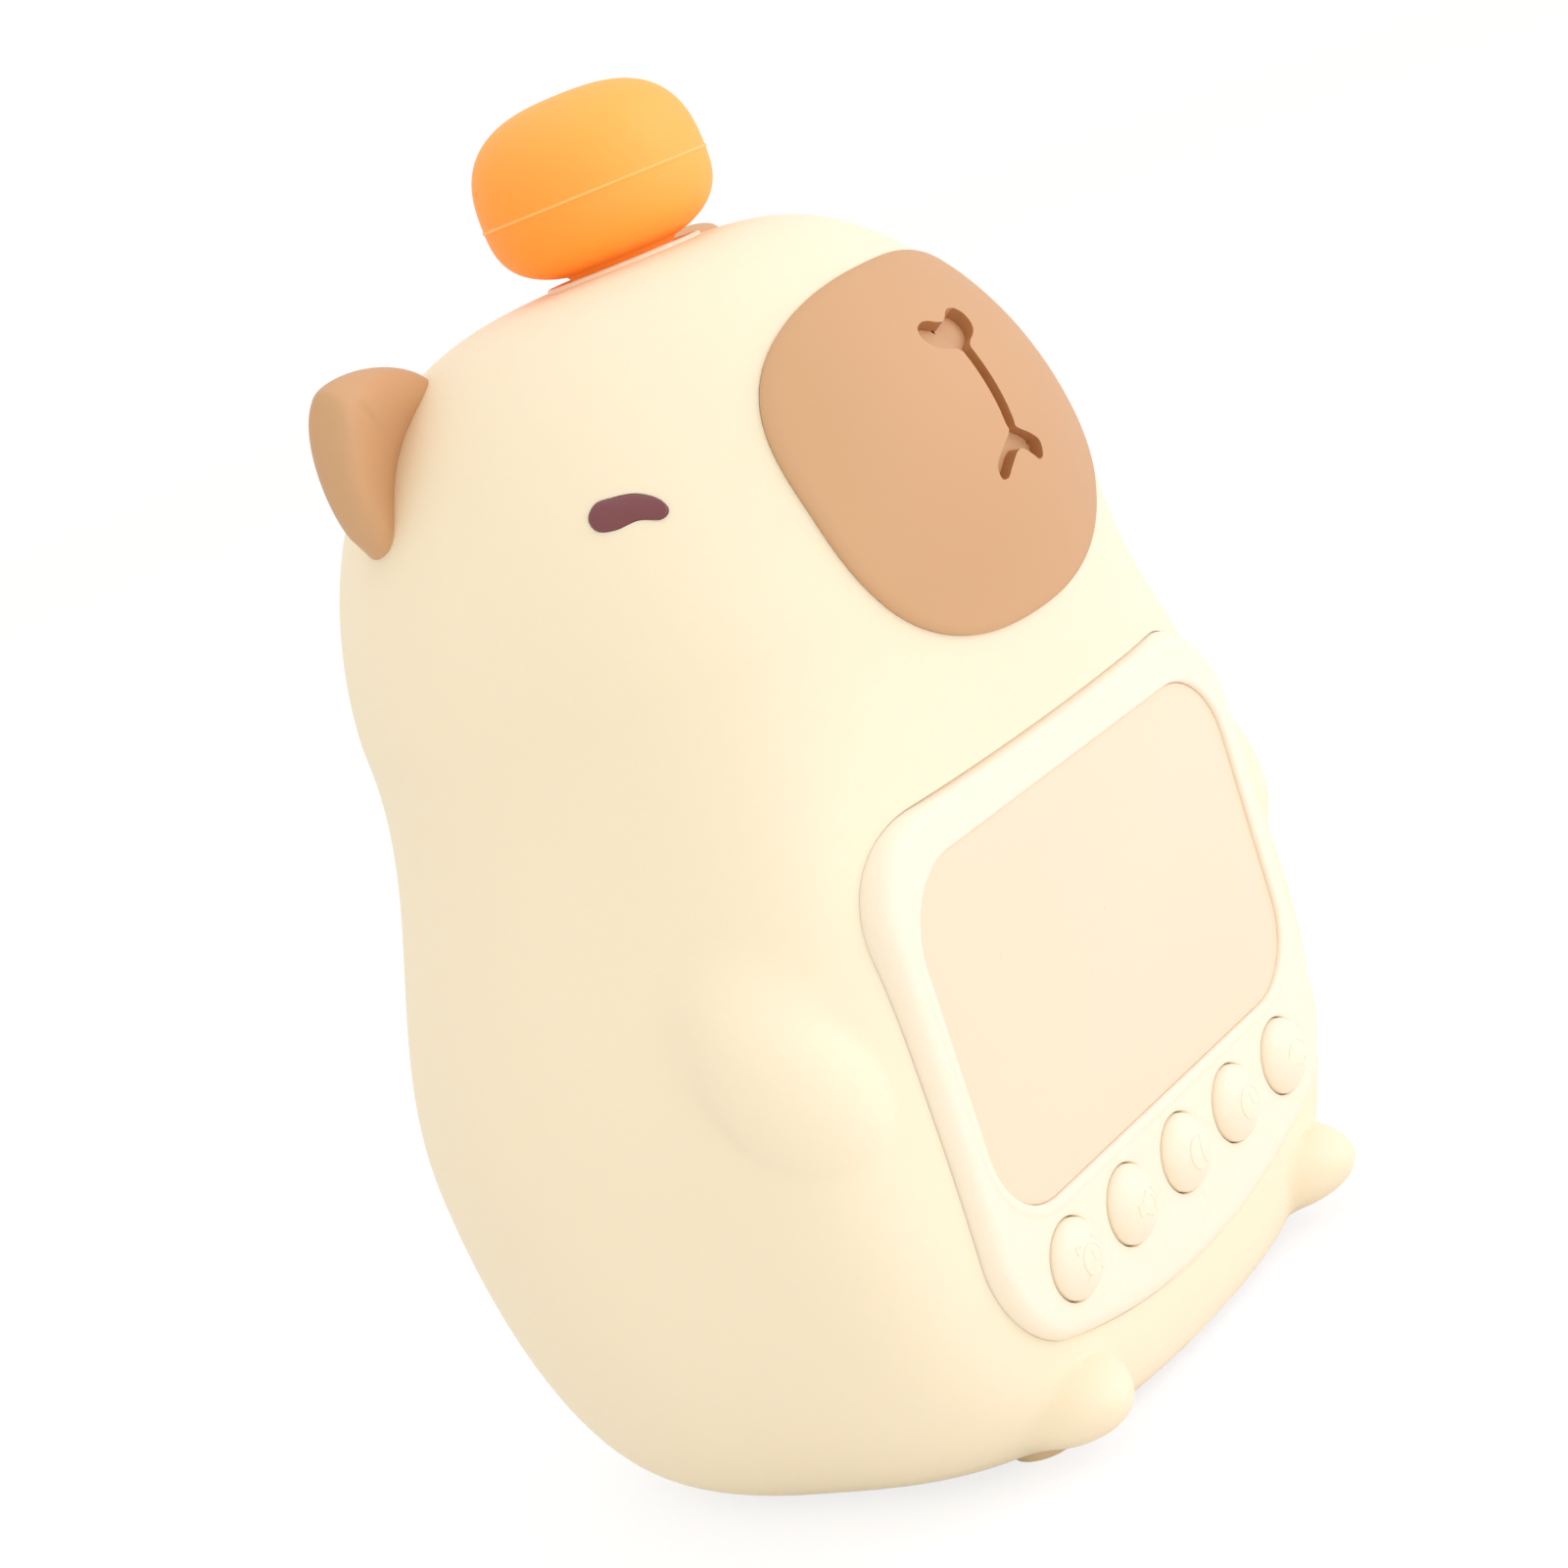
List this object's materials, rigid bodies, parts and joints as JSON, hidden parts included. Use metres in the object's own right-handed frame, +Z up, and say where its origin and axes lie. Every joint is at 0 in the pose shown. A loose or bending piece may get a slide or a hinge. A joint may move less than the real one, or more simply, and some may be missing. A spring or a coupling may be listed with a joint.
{
  "type": "kids alarm clock with night light",
  "caption": "Soft animal-shaped bedside alarm clock with a night light, a leaning face panel with a screen and press keys, and a fruit-shaped push button on its head.",
  "frame": {"origin": "on the table, under the middle of the whole clock", "axes": "+X to the clock's right as seen from the front, -Y out of its face, +Z up"},
  "size_m": [0.1122, 0.1095, 0.1652],
  "materials": {
    "silicone_cream": "matte moulded silicone",
    "silicone_tan": "matte moulded silicone",
    "silicone_orange": "matte moulded silicone",
    "panel_plastic": "fine satin texture",
    "key_plastic": "satin",
    "lens_plastic": "smooth translucent window",
    "display_case": "moulded",
    "circuit_board": "solder mask",
    "screw_steel": "zinc plated",
    "switch_plastic": "moulded",
    "eye_plastic": "smooth",
    "housing_plastic": "moulded, lets light through",
    "base_plastic": "moulded",
    "foot_rubber": "matte",
    "foam": "open foam",
    "speaker_steel": "pressed",
    "cone_paper": "pressed paper",
    "magnet_ferrite": "sintered",
    "cell_wrap": "shrink sleeve",
    "socket_steel": "plated",
    "led_resin": "phosphor resin",
    "core_plastic": "moulded"
  },
  "bodies": {
    "clock_body": {"silicone_skin": "silicone_cream", "front_panel": "panel_plastic", "screen_lens": "lens_plastic", "display_module": "display_case", "main_board": "circuit_board", "board_screws": "screw_steel", "key_switches": "switch_plastic", "muzzle_pad": "silicone_tan", "eye_left": "eye_plastic", "eye_right": "eye_plastic", "ear_left": "silicone_tan", "ear_right": "silicone_tan", "housing_front": "housing_plastic", "housing_rear": "housing_plastic", "housing_screws": "screw_steel", "base_plate": "base_plastic", "base_screws": "screw_steel", "rubber_feet": "foot_rubber", "speaker_gasket": "foam", "speaker_frame": "speaker_steel", "speaker_cone": "cone_paper", "speaker_magnet": "magnet_ferrite", "battery_cell": "cell_wrap", "battery_cradle": "core_plastic", "cradle_screws": "screw_steel", "usb_socket": "socket_steel", "usb_surround": "base_plastic", "power_board": "circuit_board", "power_screws": "screw_steel", "light_board": "circuit_board", "light_leds": "led_resin", "light_screws": "screw_steel", "head_collar": "core_plastic", "top_board": "circuit_board", "top_switch": "switch_plastic", "top_screws": "screw_steel"},
    "fruit_button": {"fruit_cap": "silicone_orange", "fruit_stem": "core_plastic"},
    "key_alarm": {"button_alarm": "key_plastic"},
    "key_sound": {"button_sound": "key_plastic"},
    "key_sleep": {"button_sleep": "key_plastic"},
    "key_clock": {"button_clock": "key_plastic"},
    "key_lamp": {"button_lamp": "key_plastic"}
  },
  "joints": [
    {"name": "fruit_press", "type": "slide", "parent": "clock_body", "child": "fruit_button", "axis": [0, 0, -1], "range_m": [0, 0.0007], "stiffness_N_per_m": 600, "springref_m": -0.001},
    {"name": "alarm_key_press", "type": "slide", "parent": "clock_body", "child": "key_alarm", "axis": [0, 0.9969, 0.0785], "range_m": [0, 0.0007], "stiffness_N_per_m": 400, "springref_m": -0.001},
    {"name": "sound_key_press", "type": "slide", "parent": "clock_body", "child": "key_sound", "axis": [0, 0.9969, 0.0785], "range_m": [0, 0.0007], "stiffness_N_per_m": 400, "springref_m": -0.001},
    {"name": "sleep_key_press", "type": "slide", "parent": "clock_body", "child": "key_sleep", "axis": [0, 0.9969, 0.0785], "range_m": [0, 0.0007], "stiffness_N_per_m": 400, "springref_m": -0.001},
    {"name": "clock_key_press", "type": "slide", "parent": "clock_body", "child": "key_clock", "axis": [0, 0.9969, 0.0785], "range_m": [0, 0.0007], "stiffness_N_per_m": 400, "springref_m": -0.001},
    {"name": "lamp_key_press", "type": "slide", "parent": "clock_body", "child": "key_lamp", "axis": [0, 0.9969, 0.0785], "range_m": [0, 0.0007], "stiffness_N_per_m": 400, "springref_m": -0.001}
  ]
}
